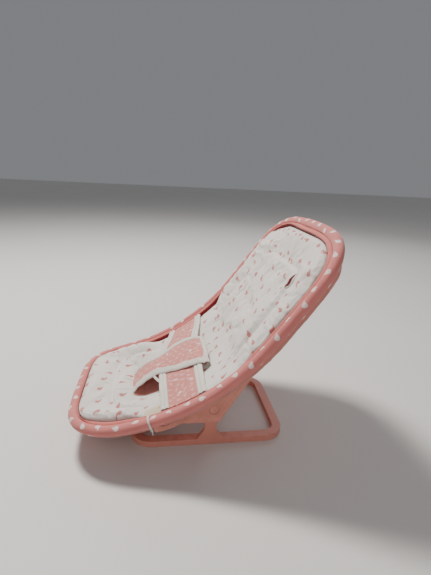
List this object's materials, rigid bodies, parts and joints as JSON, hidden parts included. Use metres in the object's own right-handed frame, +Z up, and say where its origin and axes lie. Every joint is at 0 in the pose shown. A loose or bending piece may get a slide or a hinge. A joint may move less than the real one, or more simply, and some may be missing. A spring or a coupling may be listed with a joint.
{
  "type": "toy bouncer seat",
  "caption": "Toy bouncer seat: padded fabric seat with waist belt and crotch strap, tilting on a low plastic ring base.",
  "frame": {"origin": "middle of the overall box at table height, under the seat", "axes": "+Z up; +Y from the foot end to the head end of the seat; +X to the right of a doll lying in it"},
  "size_m": [0.2076, 0.2618, 0.2294],
  "materials": {
    "pink_plastic": "semi-gloss moulded plastic",
    "pink_print_cotton": "woven cotton, small white print",
    "seam_cotton": "woven cotton, shaded seam",
    "pink_cotton": "plain woven cotton",
    "pink_belt_cotton": "woven cotton, small white print",
    "white_print_cotton": "woven cotton, small pink print, quilted",
    "white_cotton": "plain woven cotton",
    "polyester_wadding": "fibre wadding",
    "white_binding": "woven bias binding",
    "hook_and_loop": "hook and loop tape",
    "steel": "plain steel"
  },
  "bodies": {
    "base": {"base_frame": "pink_plastic"},
    "seat": {"seat_frame": "pink_plastic", "rim_cover": "pink_print_cotton", "rim_seam_strip": "seam_cotton", "underside_cover": "pink_cotton", "pad_backing": "white_cotton", "pad_wadding": "polyester_wadding", "seat_pad": "white_print_cotton", "crotch_lining": "pink_cotton", "elastic_tie": "white_binding", "front_cross_bar": "pink_plastic", "rear_cross_bar": "pink_plastic", "hinge_bracket_left": "pink_plastic", "hinge_bracket_right": "pink_plastic", "rim_arm_left": "pink_plastic", "rim_arm_right": "pink_plastic", "pivot_pin_left": "pink_plastic", "pivot_pin_right": "pink_plastic", "bracket_screw_front_left": "steel", "bracket_screw_front_right": "steel", "bracket_screw_rear_left": "steel", "bracket_screw_rear_right": "steel"},
    "crotch_strap": {"crotch_strap": "pink_belt_cotton", "crotch_strap_binding_left": "white_binding", "crotch_strap_binding_right": "white_binding", "crotch_strap_hook_tape": "hook_and_loop"},
    "waist_belt_left": {"waist_belt_left": "pink_belt_cotton", "waist_belt_left_lower_binding": "white_binding", "waist_belt_left_upper_binding": "white_binding", "waist_belt_left_loop_tape": "hook_and_loop"},
    "waist_belt_right": {"waist_belt_right": "pink_belt_cotton", "waist_belt_right_lower_binding": "white_binding", "waist_belt_right_upper_binding": "white_binding", "waist_belt_right_loop_tape": "hook_and_loop"}
  },
  "joints": [
    {"name": "seat_tilt", "type": "hinge", "parent": "base", "child": "seat", "pos_m": [0, 0.01618, 0.0445], "axis": [1, 0, 0], "range_deg": [-35, 6]},
    {"name": "crotch_strap_open", "type": "hinge", "parent": "seat", "child": "crotch_strap", "pos_m": [0, -0.0716, 0.0362], "axis": [1, 0, 0], "range_deg": [0, 90]},
    {"name": "waist_belt_left_open", "type": "hinge", "parent": "seat", "child": "waist_belt_left", "pos_m": [-0.08414, -0.00418, 0.07468], "axis": [-0.0875, 0.8371, 0.54], "range_deg": [-38, 0]},
    {"name": "waist_belt_right_open", "type": "hinge", "parent": "seat", "child": "waist_belt_right", "pos_m": [0.08278, -0.0161, 0.06749], "axis": [0.1015, 0.8671, 0.4876], "range_deg": [0, 38]}
  ],
  "couplings": [
    {"joint": "waist_belt_left_open", "follows": "crotch_strap_open", "ratio": -0.42},
    {"joint": "waist_belt_right_open", "follows": "crotch_strap_open", "ratio": 0.42}
  ]
}
